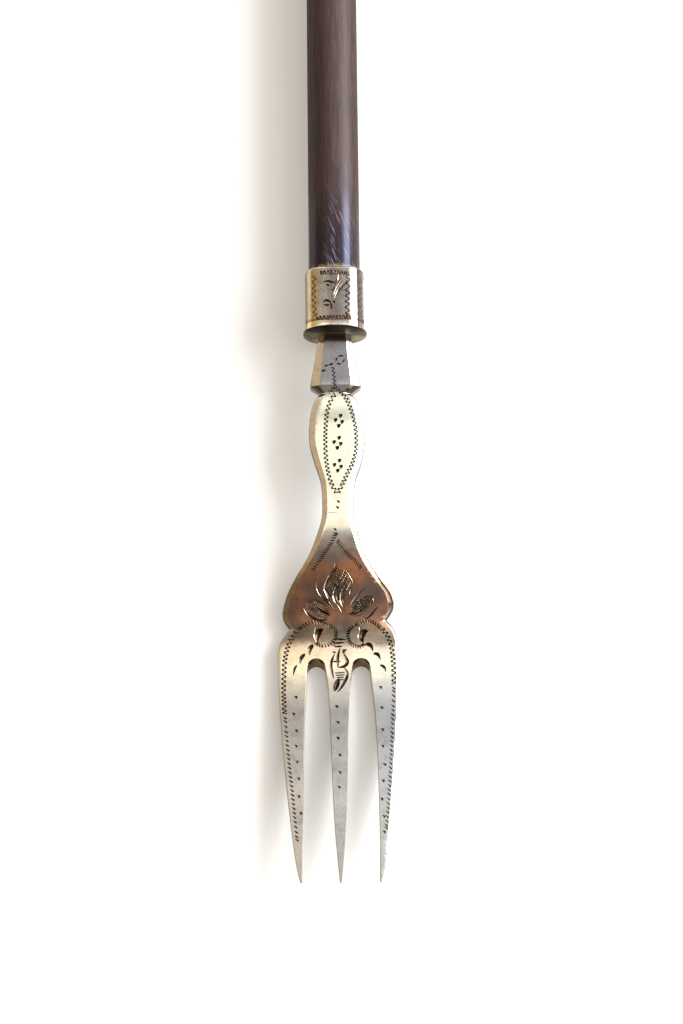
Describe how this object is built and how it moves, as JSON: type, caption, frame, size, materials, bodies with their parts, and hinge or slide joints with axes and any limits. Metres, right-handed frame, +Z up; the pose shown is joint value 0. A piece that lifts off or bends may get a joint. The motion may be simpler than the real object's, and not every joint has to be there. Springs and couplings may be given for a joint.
{
  "type": "oyster fork",
  "caption": "Slim table fork with pointed tines, a bevelled shield-shaped blade, a waisted stem, a flanged metal ferrule and a plain round wooden handle.",
  "frame": {"origin": "centre of the bounding box on the table it lies on", "axes": "+Y from the tines to the handle, +Z up out of the engraved front, +X to the right seen from the front with the tines towards the viewer"},
  "size_m": [0.02, 0.208, 0.0109],
  "materials": {
    "silver_plate": "worn silver plate on nickel silver, hand engraved, warm tarnish in the cuts and hollows",
    "cutlers_cement": "dark resin and brick-dust cement, matt",
    "dark_wood": "turned dark hardwood, waxed, with fine lengthwise grain and scratches"
  },
  "bodies": {
    "root": {"fork_head": "silver_plate", "ferrule_plate": "silver_plate", "ferrule_ring": "silver_plate", "ferrule_tube": "silver_plate", "cement": "cutlers_cement", "handle": "dark_wood"}
  },
  "joints": []
}
